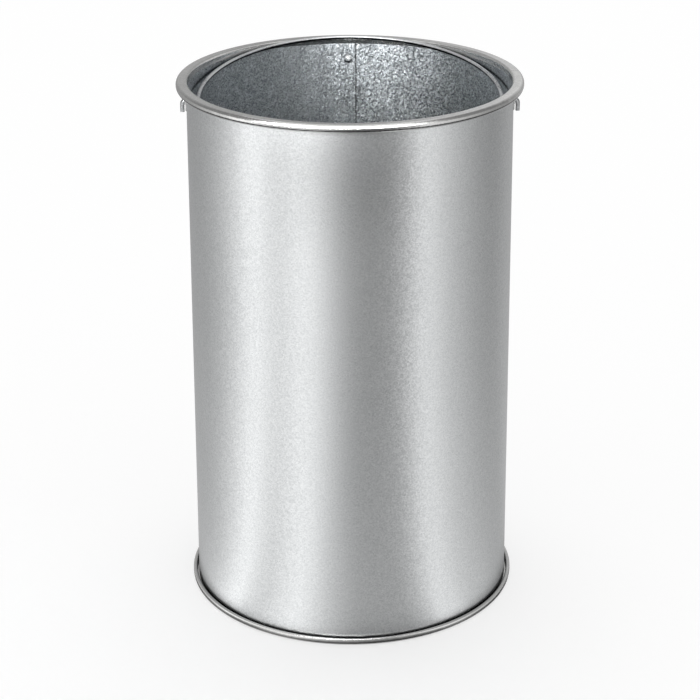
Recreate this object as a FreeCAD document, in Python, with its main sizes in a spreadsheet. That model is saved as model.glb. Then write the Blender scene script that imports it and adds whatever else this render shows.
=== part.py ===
import FreeCAD, Part
import math
import os
import Sketcher

from FreeCAD import Placement, Rotation, Vector

# A tall galvanized steel can with a swing bail, in millimetres.
# The origin is the centre of the floor under the can, +Z is up and the front looks along -Y.
# Each sheet metal piece is one bent line, the skin that shows, thickened by the gauge and turned
# about the axis of the can.

document = FreeCAD.newDocument("galvanized_can")

# --- driving dimensions -------------------------------------------------------------------------

DIMENSIONS = [
    # the wall
    ("overall_height", 506, "floor to the crest of the rim"),
    ("wall_top_radius", 150, "outside of the wall, carried up to the height of the crest"),
    ("wall_flare", 3.5, "how much wider the wall's radius is at the floor"),
    ("gauge", 0.7, "thickness of all the sheet"),
    ("fit_gap", 0.1, "play between pieces that are pressed together"),
    ("wall_top_drop", 3, "crest of the rim to the raw top edge of the wall"),
    # the lap seam at the back of the wall
    ("seam_inner_edge", 5.4, "free inner edge of the seam, to the right of the axis"),
    ("seam_outer_edge", 8.6, "free outer edge of the seam, to the left of the axis"),
    ("seam_joggle", 1.8, "run of the bend that sinks the inner layer by one gauge"),
    ("seam_gap", 0.05, "play between the two layers of the seam"),
    ("seam_notch", 1, "clear height between the inner layer and the hoop or the pan"),
    # the hoop over the top edge
    ("rim_roll_width", 9.3, "the roll, from the wall to its outside"),
    ("rim_roll_height", 7.8, "crest to the underside of the roll"),
    ("rim_roll_bend", 3.6, "outside of the bends of the roll"),
    ("rim_edge_rise", 3.9, "underside of the roll to the raw edge beside the wall"),
    ("rim_bend", 2.6, "outside of the shoulder towards the mouth"),
    ("rim_leg_depth", 6.5, "crest to the end of the leg inside the mouth"),
    ("rim_joint_angle", 7, "butt joint of the hoop, from the right towards the back"),
    ("joint_slit", 0.4, "open width of the butt joint of a hoop"),
    # the hoop round the foot
    ("foot_groove", 1.7, "open groove between the wall and the lip"),
    ("foot_lip_width", 3.8, "the curled lip, from side to side"),
    ("foot_lip_height", 6.2, "floor to the top of the lip"),
    ("foot_lip_end", 3, "floor to the raw edge inside the curl"),
    ("foot_crease", 1.4, "slope between the floor and the lip"),
    ("foot_leg_height", 6, "floor to the end of the leg inside the foot"),
    ("foot_joint_angle", 97, "butt joint of the foot hoop, beside the seam at the back"),
    # the pressed bottom
    ("pan_height", 12, "floor to the top of the pan at the wall"),
    ("pan_crease", 2.5, "slope between the pan and its flange"),
    ("pan_dish", 2.5, "depth of the pressed middle of the pan"),
    ("pan_dish_slope", 5, "run of the slope round the pressed middle"),
    ("pan_ledge", 19.6, "level ring between the pressed middle and the wall"),
    # the rivets of the seam
    ("rivet_count", 5, "rivets in the seam"),
    ("rivet_drop", 21.4, "crest to the highest rivet"),
    ("rivet_rise", 30, "floor to the lowest rivet"),
    ("rivet_offset", 1.6, "line of the rivets, to the left of the axis"),
    ("rivet_shank_radius", 2, "shank"),
    ("rivet_head_radius", 3.5, "both heads"),
    ("rivet_dome_height", 2.2, "domed head inside the can"),
    ("rivet_cap_height", 1.1, "flatter head outside the can"),
    # the ears that carry the bail
    ("pivot_drop", 22, "crest to the axis that the bail turns on"),
    ("ear_radius", 8, "round ends of an ear plate"),
    ("ear_straight", 4, "straight sides of an ear plate"),
    ("ear_thickness", 1, "ear plate"),
    ("eyelet_bore_radius", 2.3, "hole for the wire"),
    ("eyelet_flange_radius", 4.6, "rolled flange at each end"),
    ("eyelet_gauge", 0.6, "wall of the eyelet"),
    ("eyelet_crease", 0.5, "slope round the mouth of the bore"),
    ("eyelet_seat", 0.15, "play under a flange, where the wall curves"),
    # the bail
    ("wire_radius", 2, "wire of the bail"),
    ("bail_side_room", 10, "wall to the middle of the wire beside it"),
    ("bail_back_inset", 5, "half width of the bail less the radius of its back arc"),
    ("bail_inner_bend", 6, "bend from the bow to the pivot"),
    ("bail_hook_bend", 3.2, "bend from the pivot to the hook"),
    ("bail_hook_drop", 10.7, "pivot to the end of the hook"),
    ("bail_hook_round", 1.2, "rounding of the cut end"),
    ("bail_rest_gap", 0.3, "bail to the rim that it lies on"),
    ("bail_rest_angle", 35, "where the bail meets the rim's shoulder, above level"),
]

sizes = document.addObject("Spreadsheet::Sheet", "sizes")
for row, (alias, number, meaning) in enumerate(DIMENSIONS, start=1):
    sizes.set("A%d" % row, meaning)
    sizes.set("B%d" % row, str(number))
    sizes.setAlias("B%d" % row, alias)
document.recompute()

# --- lengths that several pieces share, written as expressions ----------------------------------

CREST = "sizes.overall_height"
SEAT = "(sizes.gauge + sizes.fit_gap)"
PIVOT = "(sizes.overall_height - sizes.pivot_drop)"
LEG_RADIUS = "(sizes.wall_top_radius - 2 * sizes.gauge - sizes.fit_gap)"


def wall_radius(height):
    """The outside of the wall at a height: it runs straight from the foot to the rim."""
    share = "(1 - (%s) / sizes.overall_height)" % height
    return "(sizes.wall_top_radius + sizes.wall_flare * %s)" % share


EAR_SKIN = "(%s + sizes.fit_gap + sizes.ear_thickness)" % wall_radius(PIVOT)
PAN_RADIUS = "(%s - sizes.gauge - sizes.fit_gap)" % wall_radius("sizes.pan_height")
HOOK_START = EAR_SKIN  # the wire bends down within the outer flange of the eyelet
BEYOND = "(2 * sizes.wall_top_radius)"


def value(expression):
    """The number that an expression gives now."""
    return float(sizes.evalExpression(expression.replace("sizes.", "")))


# --- helpers ------------------------------------------------------------------------------------

ROOT_POINT = (-1, 1)
UPRIGHT = Rotation(Vector(1, 0, 0), 90)


def add(kind, name, **properties):
    """A document object with its plain properties."""
    made = document.addObject(kind, name)
    for key, setting in properties.items():
        setattr(made, key, setting)
    return made


def bind(target, **expressions):
    """Bind properties to the sheet. A double underscore in a key stands for a dot."""
    for key, expression in expressions.items():
        target.setExpression(key.replace("__", "."), expression)
    return target


def pin(sketch, kind, *operands, to):
    """A dimension of a sketch, bound to an expression."""
    index = sketch.addConstraint(Sketcher.Constraint(kind, *operands, value(to)))
    sketch.setExpression("Constraints[%d]" % index, to)


def tie(sketch, kind, *operands):
    """A constraint of a sketch that has no size."""
    sketch.addConstraint(Sketcher.Constraint(kind, *operands))


def place(sketch, geometry, end, across, up):
    """Hold one point of a sketch at two distances from the sketch's origin."""
    pin(sketch, "DistanceX", *ROOT_POINT, geometry, end, to=across)
    pin(sketch, "DistanceY", *ROOT_POINT, geometry, end, to=up)


def on_axis(sketch, geometry, end):
    """Hold one point of a sketch on the sketch's vertical axis."""
    sketch.addConstraint(Sketcher.Constraint("PointOnObject", geometry, end, -2))


def unit(start, end):
    run = end - start
    return run / run.Length


def upright_sketch(name):
    return add("Sketcher::SketchObject", name, Placement=Placement(Vector(), UPRIGHT))


def add_arc(sketch, centre, first, last, turns_left):
    """An arc from one point to another. Its ends are returned in that order."""
    low, high = (first, last) if turns_left else (last, first)
    angles = [math.atan2((point - centre).y, (point - centre).x) for point in (low, high)]
    circle = Part.Circle(centre, Vector(0, 0, 1), (first - centre).Length)
    arc = sketch.addGeometry(Part.ArcOfCircle(circle, *angles))
    return (arc, 1, 2) if turns_left else (arc, 2, 1)


def bent_line(name, corners, bends, curl, side):
    """An upright sketch of a sheet's skin: straight runs between corners.

    A corner is a sharp crease, or a bend where `bends` gives its radius. A curl at the end is a
    radius and the height of the raw edge.
    """
    sketch = upright_sketch(name)
    points = [Vector(value(across), value(up), 0) for across, up in corners]
    starts, ends = points[:-1], points[1:]
    centres = {}
    for i, bend in bends.items():
        back, ahead = unit(points[i], points[i - 1]), unit(points[i], points[i + 1])
        half_angle = back.getAngle(ahead) / 2
        ends[i - 1] = points[i] + back * (value(bend) / math.tan(half_angle))
        starts[i] = points[i] + ahead * (value(bend) / math.tan(half_angle))
        middle = unit(Vector(), back + ahead)
        centres[i] = points[i] + middle * (value(bend) / math.sin(half_angle))
    runs = [sketch.addGeometry(Part.LineSegment(*both)) for both in zip(starts, ends)]

    place(sketch, runs[0], 1, *corners[0])
    place(sketch, runs[-1], 2, *corners[-1])
    for i in range(1, len(runs)):
        if i not in bends:
            tie(sketch, "Coincident", runs[i - 1], 2, runs[i], 1)
            place(sketch, runs[i], 1, *corners[i])
            continue
        arc, first, last = add_arc(sketch, centres[i], ends[i - 1], starts[i], side > 0)
        tie(sketch, "Tangent", runs[i - 1], 2, arc, first)
        tie(sketch, "Tangent", arc, last, runs[i], 1)
        pin(sketch, "Radius", arc, to=bends[i])
        mark = sketch.addGeometry(Part.Point(points[i]), True)
        tie(sketch, "PointOnObject", mark, 1, runs[i - 1])
        tie(sketch, "PointOnObject", mark, 1, runs[i])
        place(sketch, mark, 1, *corners[i])
    if curl:
        radius, height = curl
        along = unit(points[-2], points[-1])
        centre = points[-1] + Vector(-along.y, along.x, 0) * (side * value(radius))
        drop = centre.y - value(height)
        edge = centre - Vector(math.sqrt(value(radius) ** 2 - drop ** 2), drop, 0)
        arc, first, last = add_arc(sketch, centre, points[-1], edge, side > 0)
        tie(sketch, "Tangent", runs[-1], 2, arc, first)
        pin(sketch, "Radius", arc, to=radius)
        pin(sketch, "DistanceY", *ROOT_POINT, arc, last, to=height)
    return sketch


def sheet_ring(label, corners, bends=None, curl=None, side=-1, gauge="sizes.gauge", sweep="360"):
    """A bent line, thickened to one side by the gauge and turned about the can's axis.

    The side is that of the bends: -1 where the line turns right, 1 where it turns left.
    """
    skin = bent_line(label + "_skin", corners, bends or {}, curl, side)
    strip = add("Part::Offset2D", label + "_strip", Source=skin, Mode="Skin", Fill=True,
                Join="Intersection")
    bind(strip, Value="%d * %s" % (side, gauge))
    ring = add("Part::Revolution", label, Source=strip, Axis=Vector(0, 0, 1), Solid=True)
    bind(ring, Angle=sweep)
    return ring


def closed_outline(sketch, corners):
    """A polygon through the corners."""
    points = [Vector(value(across), value(up), 0) for across, up in corners]
    lines = [sketch.addGeometry(Part.LineSegment(points[i - 1], points[i]))
             for i in range(len(points))]
    for i, line in enumerate(lines):
        tie(sketch, "Coincident", lines[i - 1], 2, line, 1)
        place(sketch, line, 2, *corners[i])


def wall_band(label, low, high, outer_depth, inner_depth, start="90", sweep="360"):
    """A band that follows the wall between two heights, at two depths under the wall's outside."""
    sketch = upright_sketch(label + "_strip")
    closed_outline(sketch, [
        ("%s - (%s)" % (wall_radius(height), depth), height)
        for height, depth in ((low, outer_depth), (high, outer_depth),
                              (high, inner_depth), (low, inner_depth))])
    band = add("Part::Revolution", label, Source=sketch, Axis=Vector(0, 0, 1), Solid=True)
    bind(band, Angle=sweep)
    return bind(band, Placement__Rotation__Angle=start)


def cut(label, base, tools):
    bundle = add("Part::Compound", label + "_cutters", Links=tools)
    return add("Part::Cut", label, Base=base, Tool=bundle)


def butt_joint(radius):
    """The turn of a hoop that is closed by a butt joint."""
    return "360 - sizes.joint_slit / (%s) * 180 / pi" % radius


# --- the wall: one sheet, rolled and closed by a joggled lap seam ---------------------------------

def seam_angle(across):
    """The direction, seen from the can's axis, of a point of the seam to the right of its middle."""
    return "(90 - (%s) / sizes.wall_top_radius * 180 / pi)" % across


# The sheet starts sunk under its own end. From left to right: start of the joggle, foot of the
# joggle, free end of the outer layer, free edge of the inner layer.
JOGGLE_FOOT = seam_angle("-(sizes.seam_outer_edge + sizes.fit_gap)")
JOGGLE_START = seam_angle("-(sizes.seam_outer_edge + sizes.fit_gap + sizes.seam_joggle)")
OUTER_END = seam_angle("-sizes.seam_outer_edge")
INNER_END = seam_angle("sizes.seam_inner_edge")
LAP_DEPTH = "(sizes.gauge + sizes.seam_gap)"


def joggle_section(name, height):
    """The joggle seen from above: the sheet on its way from the outer layer to the inner one."""
    sketch = add("Sketcher::SketchObject", name)
    bind(sketch, Placement__Base__z=height)
    corners = []
    for angle, depth in ((JOGGLE_START, "0"), (JOGGLE_START, "sizes.gauge"),
                         (JOGGLE_FOOT, LAP_DEPTH + " + sizes.gauge"), (JOGGLE_FOOT, LAP_DEPTH)):
        radius = "(%s - (%s))" % (wall_radius(height), depth)
        corners.append(("%s * cos(%s)" % (radius, angle), "%s * sin(%s)" % (radius, angle)))
    closed_outline(sketch, corners)
    return sketch


def rivet_height(index):
    span = "(sizes.overall_height - sizes.rivet_drop - sizes.rivet_rise)"
    share = "%d / (sizes.rivet_count - 1)" % index
    return "sizes.overall_height - sizes.rivet_drop - %s * %s" % (span, share)


def make_shell():
    top = "(sizes.overall_height - sizes.wall_top_drop)"
    # the inner layer stops short of the pan and of the hoop's leg
    lap_low = "(sizes.pan_height + sizes.seam_notch)"
    lap_high = "(sizes.overall_height - sizes.rim_leg_depth - sizes.seam_notch)"
    outer = wall_band("outer_layer", SEAT, top, "0", "sizes.gauge", start=JOGGLE_START,
                      sweep="360 - (%s - %s)" % (JOGGLE_START, OUTER_END))
    inner = wall_band("inner_layer", lap_low, lap_high, LAP_DEPTH, LAP_DEPTH + " + sizes.gauge",
                      start=INNER_END, sweep="%s - %s" % (JOGGLE_FOOT, INNER_END))
    ends = [joggle_section("joggle_low", lap_low), joggle_section("joggle_high", lap_high)]
    joggle = add("Part::Loft", "joggle", Sections=ends, Solid=True, Ruled=True)
    sheet = add("Part::MultiFuse", "rolled_sheet", Shapes=[outer, joggle, inner])
    tools = []
    for index in range(int(sizes.rivet_count)):
        hole = add("Part::Cylinder", "rivet_hole_%d" % index)
        hole.Placement = Placement(Vector(), Rotation(Vector(1, 0, 0), -90))
        bind(hole, Radius="sizes.rivet_shank_radius + sizes.fit_gap", Height=BEYOND)
        bind(hole, Placement__Base__x="-sizes.rivet_offset")
        bind(hole, Placement__Base__z=rivet_height(index))
        tools.append(hole)
    ears = add("Part::Cylinder", "ear_holes")
    ears.Placement = Placement(Vector(), Rotation(Vector(0, 1, 0), 90))
    bind(ears, Radius="sizes.eyelet_bore_radius + sizes.eyelet_gauge + sizes.fit_gap")
    bind(ears, Height="2 * " + BEYOND, Placement__Base__x="-" + BEYOND, Placement__Base__z=PIVOT)
    return cut("shell", sheet, tools + [ears])


# --- the two hoops and the pan ------------------------------------------------------------------

def make_rim_hoop():
    """The hoop folds over the raw edge: a leg in the mouth, a shoulder, and an oval roll outside."""
    roll_inner = "sizes.wall_top_radius + sizes.fit_gap"
    roll_outer = roll_inner + " + sizes.rim_roll_width"
    underside = "sizes.overall_height - sizes.rim_roll_height"
    corners = [
        (LEG_RADIUS, "sizes.overall_height - sizes.rim_leg_depth"),
        (LEG_RADIUS, CREST),
        (roll_outer, CREST),
        (roll_outer, underside),
        (roll_inner, underside),
        (roll_inner, underside + " + sizes.rim_edge_rise"),
    ]
    bends = {1: "sizes.rim_bend", 2: "sizes.rim_roll_bend", 3: "sizes.rim_roll_bend",
             4: "sizes.rim_roll_bend"}
    hoop = sheet_ring("rim_hoop", corners, bends=bends, sweep=butt_joint("sizes.wall_top_radius"))
    return bind(hoop, Placement__Rotation__Angle="sizes.rim_joint_angle")


def make_foot_hoop():
    """A channel that holds the wall and the pan's flange, with a lip curled back towards the wall."""
    leg = "%s - 2 * sizes.gauge - sizes.fit_gap" % PAN_RADIUS
    lip_outer = "%s + sizes.foot_groove + sizes.foot_lip_width" % wall_radius("0")
    lip_radius = "sizes.foot_lip_width / 2"
    corners = [
        (leg, "sizes.foot_leg_height"),
        (leg, "0"),
        (lip_outer + " - sizes.foot_crease", "0"),
        (lip_outer, "sizes.foot_crease"),
        (lip_outer, "sizes.foot_lip_height - " + lip_radius),
    ]
    hoop = sheet_ring("foot_hoop", corners, curl=(lip_radius, "sizes.foot_lip_end"), side=1,
                      sweep=butt_joint(wall_radius("0")))
    return bind(hoop, Placement__Rotation__Angle="sizes.foot_joint_angle")


def make_base_pan():
    """A disc with a pressed middle and a flange that is turned down inside the wall."""
    low = "sizes.pan_height - sizes.pan_dish"
    dish_edge = "%s - sizes.pan_ledge" % PAN_RADIUS
    corners = [
        ("0", low),
        (dish_edge + " - sizes.pan_dish_slope", low),
        (dish_edge, "sizes.pan_height"),
        (PAN_RADIUS + " - sizes.pan_crease", "sizes.pan_height"),
        (PAN_RADIUS, "sizes.pan_height - sizes.pan_crease"),
        (PAN_RADIUS, SEAT),
    ]
    return sheet_ring("base_pan", corners)


# --- the rivets of the seam ---------------------------------------------------------------------

def origin_plane(body, role):
    for feature in body.Origin.OriginFeatures:
        if feature.Role == role:
            return feature
    raise LookupError(role)


def body_sketch(body, name, role):
    sketch = body.newObject("Sketcher::SketchObject", name)
    sketch.AttachmentSupport = (origin_plane(body, role), "")
    sketch.MapMode = "FlatFace"
    return sketch


def make_seam_rivets():
    """One rivet turned about its own axis, then repeated down the seam.

    The body leans with the wall. Its origin is on the wall's skin, and its Y axis points outward.
    """
    body = add("PartDesign::Body", "seam_rivets", AllowCompound=True)
    lean = "atan(sizes.wall_flare / sizes.overall_height)"
    body.Placement = Placement(Vector(), Rotation(Vector(1, 0, 0), value(lean)))
    bind(body, Placement__Rotation__Angle=lean, Placement__Base__x="-sizes.rivet_offset")
    bind(body, Placement__Base__y=wall_radius(rivet_height(0)), Placement__Base__z=rivet_height(0))

    cap_seat = "sizes.fit_gap"
    cap_top = "sizes.fit_gap + sizes.rivet_cap_height"
    dome_seat = "-(2 * sizes.gauge + sizes.seam_gap + sizes.fit_gap)"
    dome_top = "%s - sizes.rivet_dome_height" % dome_seat
    head = "sizes.rivet_head_radius"
    shank = "sizes.rivet_shank_radius"
    sketch = body_sketch(body, "rivet_outline", "XY_Plane")

    def dome(seat, top):
        edge = Vector(value(head), value(seat), 0)
        crown = Vector(0, value(top), 0)
        rise = abs(crown.y - edge.y)
        size = (edge.x ** 2 + rise ** 2) / (2 * rise)
        upward = 1 if crown.y > edge.y else -1
        centre = Vector(0, crown.y - upward * size, 0)
        spread = math.asin(edge.x / size)
        middle = upward * math.pi / 2
        angles = (middle - spread, middle) if upward > 0 else (middle, middle + spread)
        circle = Part.Circle(centre, Vector(0, 0, 1), size)
        arc = sketch.addGeometry(Part.ArcOfCircle(circle, *angles))
        edge_end, crown_end = (1, 2) if upward > 0 else (2, 1)
        on_axis(sketch, arc, 3)
        place(sketch, arc, edge_end, head, seat)
        on_axis(sketch, arc, crown_end)
        pin(sketch, "DistanceY", *ROOT_POINT, arc, crown_end, to=top)
        return arc, edge_end, crown_end

    cap, cap_edge, cap_crown = dome(cap_seat, cap_top)
    button, button_edge, button_crown = dome(dome_seat, dome_top)
    shank_ends = [Vector(value(shank), value(seat), 0) for seat in (cap_seat, dome_seat)]
    side = sketch.addGeometry(Part.LineSegment(*shank_ends))
    place(sketch, side, 1, shank, cap_seat)
    place(sketch, side, 2, shank, dome_seat)
    for first, second in (((cap, cap_edge), (side, 1)), ((side, 2), (button, button_edge)),
                          ((button, button_crown), (cap, cap_crown))):
        line = sketch.addGeometry(Part.LineSegment(sketch.getPoint(*first), sketch.getPoint(*second)))
        tie(sketch, "Coincident", line, 1, *first)
        tie(sketch, "Coincident", line, 2, *second)
    document.recompute()

    rivet = body.newObject("PartDesign::Revolution", "rivet")
    rivet.Profile = sketch
    rivet.ReferenceAxis = (sketch, ["V_Axis"])
    rivet.Angle = 360
    document.recompute()
    row = body.newObject("PartDesign::LinearPattern", "rivet_row")
    row.Originals = [rivet]
    row.Direction = (sketch, ["N_Axis"])
    row.Reversed = True
    bind(row, Length="sizes.overall_height - sizes.rivet_drop - sizes.rivet_rise")
    bind(row, Occurrences="sizes.rivet_count")
    body.Tip = row
    return body


# --- the ears: a plate outside the wall, clinched by an eyelet ------------------------------------

def ear_outline(name):
    """A plate with two round ends, one above the other, and the eyelet's hole between them."""
    sketch = add("Sketcher::SketchObject", name)
    sketch.Placement = Placement(Vector(), Rotation(Vector(1, 1, 1), 120))
    bind(sketch, Placement__Base__z=PIVOT)
    radius, reach = "sizes.ear_radius", "sizes.ear_straight / 2"
    ends = []
    for sign in (1, -1):
        centre = Vector(0, sign * value(reach), 0)
        start = 0 if sign > 0 else math.pi
        circle = Part.Circle(centre, Vector(0, 0, 1), value(radius))
        end = sketch.addGeometry(Part.ArcOfCircle(circle, start, start + math.pi))
        place(sketch, end, 3, "0", "%d * %s" % (sign, reach))
        pin(sketch, "Radius", end, to=radius)
        ends.append(end)
    for first, second in ((ends, ends[::-1]), (ends[::-1], ends)):
        line = sketch.addGeometry(Part.LineSegment(
            sketch.getPoint(first[0], 2), sketch.getPoint(second[0], 1)))
        tie(sketch, "Tangent", line, 1, first[0], 2)
        tie(sketch, "Tangent", line, 2, second[0], 1)
    hole = sketch.addGeometry(Part.Circle(Vector(), Vector(0, 0, 1), value("sizes.ear_radius") / 2))
    tie(sketch, "Coincident", hole, 3, *ROOT_POINT)
    pin(sketch, "Radius", hole,
        to="sizes.eyelet_bore_radius + sizes.eyelet_gauge + sizes.fit_gap")
    return sketch


def make_ear_plate(hand, turn):
    label = "ear_plate_" + hand
    blank = add("Part::Extrusion", label + "_blank", Base=ear_outline(label + "_outline"),
                DirMode="Custom", Dir=Vector(1, 0, 0), Solid=True)
    bind(blank, LengthFwd="%s + sizes.ear_thickness" % EAR_SKIN)
    low = "(%s - sizes.ear_straight - sizes.ear_radius)" % PIVOT
    band = wall_band(label + "_band", low, CREST, "-(sizes.fit_gap + sizes.ear_thickness)",
                     "-sizes.fit_gap")
    plate = add("Part::Common", label, Base=band, Tool=blank)
    plate.Placement = Placement(Vector(), Rotation(Vector(0, 0, 1), turn))
    return plate


def make_eyelet(hand, turn):
    """A tube with a rolled flange at each end, turned about the pivot."""
    label = "eyelet_" + hand
    outside = "(%s + sizes.eyelet_seat + sizes.eyelet_gauge)" % EAR_SKIN
    inside = "(%s - sizes.gauge - sizes.eyelet_seat - sizes.eyelet_gauge)" % wall_radius(PIVOT)
    corners = [
        (inside, "sizes.eyelet_flange_radius"),
        (inside, "sizes.eyelet_bore_radius + sizes.eyelet_crease"),
        (inside + " + sizes.eyelet_crease", "sizes.eyelet_bore_radius"),
        (outside + " - sizes.eyelet_crease", "sizes.eyelet_bore_radius"),
        (outside, "sizes.eyelet_bore_radius + sizes.eyelet_crease"),
        (outside, "sizes.eyelet_flange_radius"),
    ]
    eyelet = sheet_ring(label, corners, side=1, gauge="sizes.eyelet_gauge")
    eyelet.Axis = Vector(1, 0, 0)
    eyelet.Placement = Placement(Vector(), Rotation(Vector(0, 0, 1), turn))
    return bind(eyelet, Placement__Base__z=PIVOT)


# --- the bail: one wire, bowed across the mouth and hooked outside each ear -----------------------

# The middle of the bail lies on the shoulder of the rim at the back.
REST = "(sizes.rim_bend + sizes.wire_radius + sizes.bail_rest_gap)"
REST_BACK = "(%s + sizes.rim_bend - %s * cos(sizes.bail_rest_angle))" % (LEG_RADIUS, REST)
REST_RISE = "(sizes.pivot_drop - sizes.rim_bend + %s * sin(sizes.bail_rest_angle))" % REST
BAIL_LENGTH = "sqrt(%s ^ 2 + %s ^ 2)" % (REST_BACK, REST_RISE)
BAIL_TILT = "atan(%s / %s)" % (REST_RISE, REST_BACK)
BAIL_HALF_WIDTH = "(sizes.wall_top_radius - sizes.bail_side_room)"
BAIL_BACK_RADIUS = "(%s - sizes.bail_back_inset)" % BAIL_HALF_WIDTH


def bow_path(body):
    """The right half of the bow: pivot, inner bend, long side arc and half of the back arc."""
    sketch = body_sketch(body, "bow_path", "XY_Plane")
    sketch.AttachmentOffset = Placement(Vector(), Rotation(Vector(1, 0, 0), value(BAIL_TILT)))
    bind(sketch, AttachmentOffset__Rotation__Angle=BAIL_TILT)
    bend = "sizes.bail_inner_bend"
    bend_centre = "%s + sizes.bail_inner_bend" % BAIL_HALF_WIDTH
    back_centre = "%s - %s" % (BAIL_LENGTH, BAIL_BACK_RADIUS)

    # the side arc is the one that is tangent to the inner bend and to the back arc
    half, start, back = value(BAIL_HALF_WIDTH), value(bend), value(BAIL_BACK_RADIUS)
    rise = value(back_centre) - start
    side = (half ** 2 + rise ** 2 - back ** 2) / (2 * (half - back))
    side_centre = Vector(half - side, start, 0)
    meet = math.atan2(rise, -side_centre.x)

    pivot_end = Vector(value(HOOK_START), 0, 0)
    upward = Vector(0, 0, 1)
    stub = sketch.addGeometry(Part.LineSegment(pivot_end, Vector(value(bend_centre), 0, 0)))
    corner = sketch.addGeometry(Part.ArcOfCircle(
        Part.Circle(Vector(value(bend_centre), start, 0), upward, start), math.pi, 1.5 * math.pi))
    flank = sketch.addGeometry(Part.ArcOfCircle(Part.Circle(side_centre, upward, side), 0, meet))
    crown = sketch.addGeometry(Part.ArcOfCircle(
        Part.Circle(Vector(0, value(back_centre), 0), upward, back), meet, math.pi / 2))
    place(sketch, stub, 1, HOOK_START, "0")
    tie(sketch, "Tangent", stub, 2, corner, 2)
    tie(sketch, "Tangent", corner, 1, flank, 1)
    tie(sketch, "Tangent", flank, 2, crown, 1)
    pin(sketch, "Radius", corner, to=bend)
    place(sketch, corner, 3, bend_centre, bend)
    pin(sketch, "DistanceY", *ROOT_POINT, flank, 3, to=bend)
    pin(sketch, "Radius", crown, to=BAIL_BACK_RADIUS)
    place(sketch, crown, 3, "0", back_centre)
    on_axis(sketch, crown, 2)
    return sketch


def hook_path(body):
    """The hook: a tight bend straight down, outside the ear."""
    sketch = body_sketch(body, "hook_path", "XZ_Plane")
    bend, drop = value("sizes.bail_hook_bend"), value("sizes.bail_hook_drop")
    start = value(HOOK_START)
    centre = Vector(start, -bend, 0)
    turn = sketch.addGeometry(Part.ArcOfCircle(
        Part.Circle(centre, Vector(0, 0, 1), bend), 0, math.pi / 2))
    tail = sketch.addGeometry(Part.LineSegment(
        Vector(start + bend, -bend, 0), Vector(start + bend, -drop, 0)))
    place(sketch, turn, 3, HOOK_START, "-sizes.bail_hook_bend")
    place(sketch, turn, 2, HOOK_START, "0")
    tie(sketch, "Tangent", turn, 1, tail, 1)
    tie(sketch, "Vertical", tail)
    pin(sketch, "DistanceY", *ROOT_POINT, tail, 2, to="-sizes.bail_hook_drop")
    return sketch


def make_bail():
    """Half of the wire, swept along the bow and round the hook, then mirrored across the can."""
    body = add("PartDesign::Body", "bail")
    bind(body, Placement__Base__z=PIVOT)
    section = body_sketch(body, "wire_section", "YZ_Plane")
    section.AttachmentOffset = Placement(Vector(0, 0, value(HOOK_START)), Rotation())
    bind(section, AttachmentOffset__Base__z=HOOK_START)
    circle = Part.Circle(Vector(), Vector(0, 0, 1), value("sizes.wire_radius"))
    wire = section.addGeometry(circle)
    tie(section, "Coincident", wire, 3, *ROOT_POINT)
    pin(section, "Radius", wire, to="sizes.wire_radius")
    paths = [bow_path(body), hook_path(body)]
    document.recompute()

    for path, name in zip(paths, ("bow", "hook")):
        pipe = body.newObject("PartDesign::AdditivePipe", name)
        pipe.Profile = section
        pipe.Spine = (path, ["Edge%d" % (i + 1) for i in range(path.GeometryCount)])
        document.recompute()

    lowest = min(range(len(pipe.Shape.Edges)), key=lambda i: pipe.Shape.Edges[i].BoundBox.ZMax)
    rounding = body.newObject("PartDesign::Fillet", "hook_end")
    rounding.Base = (pipe, ["Edge%d" % (lowest + 1)])
    bind(rounding, Radius="sizes.bail_hook_round")
    document.recompute()
    whole = body.newObject("PartDesign::Mirrored", "whole_bail")
    whole.TransformMode = "Whole shape"
    whole.MirrorPlane = (origin_plane(body, "YZ_Plane"), [""])
    body.Tip = whole
    return body


# --- build, check and write -----------------------------------------------------------------------

nodes = [make_shell(), make_rim_hoop(), make_foot_hoop(), make_base_pan(), make_seam_rivets()]
for side_name, side_turn in (("right", 0), ("left", 180)):
    nodes.append(make_ear_plate(side_name, side_turn))
    nodes.append(make_eyelet(side_name, side_turn))
nodes.append(make_bail())
document.recompute()

for item in document.Objects:
    if "Invalid" in item.State or "Error" in item.State:
        raise RuntimeError("%s failed: %s" % (item.Label, item.State))

os.makedirs("parts", exist_ok=True)
for node in nodes:
    if node.Shape.isNull() or not node.Shape.isValid():
        raise RuntimeError("%s has no valid shape" % node.Label)
for node in nodes:
    node.Shape.exportStep("parts/%s.step" % node.Label)
    box = node.Shape.BoundBox
    print("%-16s %d solids, %9.0f mm3, x %.1f..%.1f, y %.1f..%.1f, z %.1f..%.1f" % (
        node.Label, len(node.Shape.Solids), node.Shape.Volume,
        box.XMin, box.XMax, box.YMin, box.YMax, box.ZMin, box.ZMax))
print("bail: %.2f mm from pivot to middle, tilted %.2f degrees at rest" % (
    value(BAIL_LENGTH), value(BAIL_TILT)))
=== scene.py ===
# %% [markdown]
# # A galvanized can, dressed for the camera
#
# The can is a tall tube of thin zinc-coated steel. A rolled hoop closes its top edge, a curled
# hoop closes its foot, and a wire bail lies back in its mouth. The construction model is loaded
# first, as a fixed frame: every piece made below sits exactly where that frame says.

# %% Load the frame
import math

import bmesh
import bpy
from mathutils import Matrix, Vector


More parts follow.
